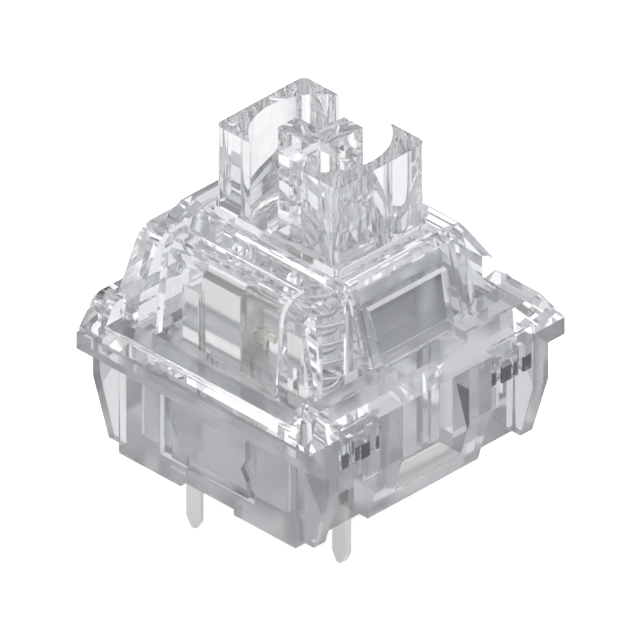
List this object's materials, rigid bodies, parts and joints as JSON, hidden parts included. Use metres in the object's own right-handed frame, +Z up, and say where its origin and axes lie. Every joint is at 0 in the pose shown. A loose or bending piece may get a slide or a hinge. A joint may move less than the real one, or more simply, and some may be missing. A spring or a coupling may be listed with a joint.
{
  "type": "mechanical keyboard switch",
  "caption": "Mechanical keyboard switch with a clear cover, a clear cross stem inside a dust wall, a frosted base with flange and centre post, a coil spring and a pair of contacts.",
  "frame": {"origin": "on the axis of the centre post, in the plane of the board that the base stands on", "axes": "+Z up along the stroke of the stem, towards the keycap; -Y towards the side of the two contact pins; +Y towards the lamp slot; +X completes the frame"},
  "size_m": [0.014, 0.0156, 0.0189],
  "materials": {
    "clear_cover": "clear moulded plastic, polished",
    "clear_stem": "clear moulded plastic, polished",
    "frosted_base": "frosted translucent moulded plastic",
    "spring_wire": "drawn bright wire",
    "contact_sheet": "tinned pale metal sheet",
    "contact_gold": "plated contact metal"
  },
  "bodies": {
    "housing": {"bottom_housing": "frosted_base", "top_housing": "clear_cover", "return_spring": "spring_wire", "fixed_contact": "contact_sheet", "fixed_contact_point": "contact_gold", "moving_terminal": "contact_sheet"},
    "slider": {"stem": "clear_stem"},
    "contact_leaf": {"moving_leaf": "contact_sheet", "moving_contact_point": "contact_gold"}
  },
  "joints": [
    {"name": "stem_slide", "type": "slide", "parent": "housing", "child": "slider", "axis": [0, 0, 1], "range_m": [-0.004, 0], "stiffness_N_per_m": 90, "springref_m": 0.0001, "deforming": ["return_spring"]},
    {"name": "leaf_flex", "type": "hinge", "parent": "housing", "child": "contact_leaf", "pos_m": [0, -0.0049, 0.0032], "axis": [-1, 0, 0], "range_deg": [0, 2.6]}
  ],
  "couplings": [
    {"joint": "leaf_flex", "follows": "stem_slide", "rad_per_m": -11.34}
  ]
}
